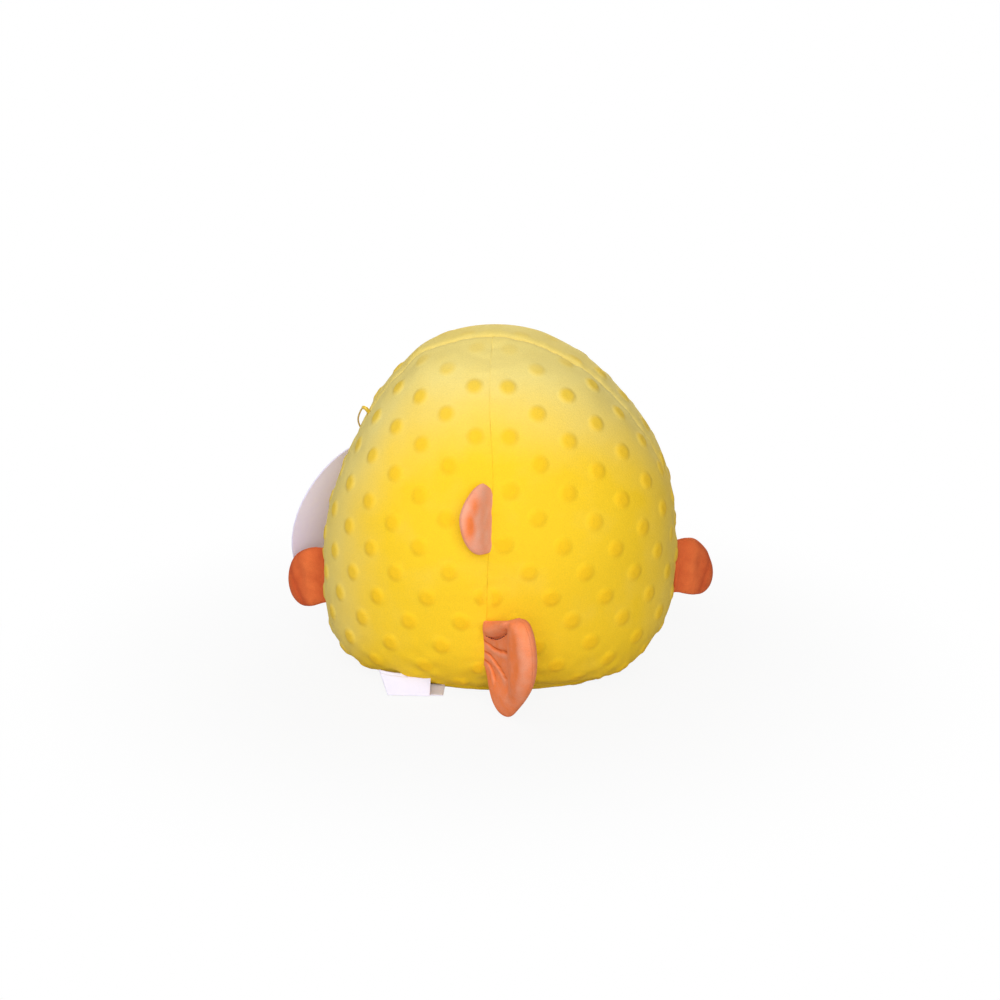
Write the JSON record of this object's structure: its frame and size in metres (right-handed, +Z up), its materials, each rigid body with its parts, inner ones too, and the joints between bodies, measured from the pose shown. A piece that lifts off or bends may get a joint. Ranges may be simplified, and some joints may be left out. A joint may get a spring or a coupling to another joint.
{
  "type": "stuffed fish toy",
  "caption": "Stuffed pufferfish toy: egg-shaped dotted plush body on a flat base, velour fins that flop on their seams, a felt face, a bare hang tag and a folded label.",
  "frame": {"origin": "middle of the flat underside, on the surface that the toy stands on", "axes": "+Z up, +Y the way the fish looks, +X to its right"},
  "size_m": [0.2433, 0.2037, 0.1917],
  "materials": {
    "dotted_plush": "raised-dot pile",
    "velour": "short velvety nap",
    "fibre": "loose fibre",
    "pale_felt": "felt",
    "dark_felt": "felt",
    "mouth_thread": "satin-stitched thread",
    "card": "smooth coated card",
    "nylon": "moulded",
    "label_tape": "woven satin tape"
  },
  "bodies": {
    "body": {"body_stuffing": "fibre", "back_panel_left": "dotted_plush", "back_panel_right": "dotted_plush", "front_panel": "dotted_plush", "base_panel": "dotted_plush", "left_eye_patch": "pale_felt", "left_eye_pupil": "dark_felt", "right_eye_patch": "pale_felt", "right_eye_pupil": "dark_felt", "mouth_ring": "mouth_thread", "care_label_root": "label_tape"},
    "dorsal_fin": {"dorsal_fin_left_face": "velour", "dorsal_fin_right_face": "velour", "dorsal_fin_padding": "fibre"},
    "tail_fin": {"tail_fin_left_face": "velour", "tail_fin_right_face": "velour", "tail_fin_padding": "fibre"},
    "left_pectoral": {"left_pectoral_front_face": "velour", "left_pectoral_back_face": "velour", "left_pectoral_padding": "fibre"},
    "right_pectoral": {"right_pectoral_back_face": "velour", "right_pectoral_front_face": "velour", "right_pectoral_padding": "fibre"},
    "tag": {"hang_tag": "card", "tag_fastener": "nylon"},
    "care_label": {"care_label_back_ply": "label_tape", "care_label_front_ply": "label_tape"}
  },
  "joints": [
    {"name": "dorsal_flop", "type": "hinge", "parent": "body", "child": "dorsal_fin", "pos_m": [0, -0.07775, 0.10315], "axis": [0, 0.2418, 0.9703], "range_deg": [-15, 95], "stiffness_Nm_per_rad": 0.002},
    {"name": "tail_wag", "type": "hinge", "parent": "body", "child": "tail_fin", "pos_m": [0, -0.08178, 0.03091], "axis": [0, -0.1538, 0.9881], "range_deg": [-75, 20], "stiffness_Nm_per_rad": 0.002},
    {"name": "left_pectoral_flap", "type": "hinge", "parent": "body", "child": "left_pectoral", "pos_m": [-0.101, 0.00285, 0.03895], "axis": [-0.0849, 0.0036, 0.9964], "range_deg": [-15, 75], "stiffness_Nm_per_rad": 0.002},
    {"name": "right_pectoral_flap", "type": "hinge", "parent": "body", "child": "right_pectoral", "pos_m": [0.10151, 0.00161, 0.04899], "axis": [-0.0191, -0.0005, -0.9998], "range_deg": [-15, 75], "stiffness_Nm_per_rad": 0.002},
    {"name": "hang_tag_lift", "type": "hinge", "parent": "body", "child": "tag", "pos_m": [-0.07392, -0.00978, 0.14245], "axis": [0.766, 0.6428, 0], "range_deg": [0, 70]},
    {"name": "care_label_fold", "type": "hinge", "parent": "body", "child": "care_label", "pos_m": [-0.0435, -0.06883, 0.0009], "axis": [1, 0, 0], "range_deg": [0, 50]}
  ]
}
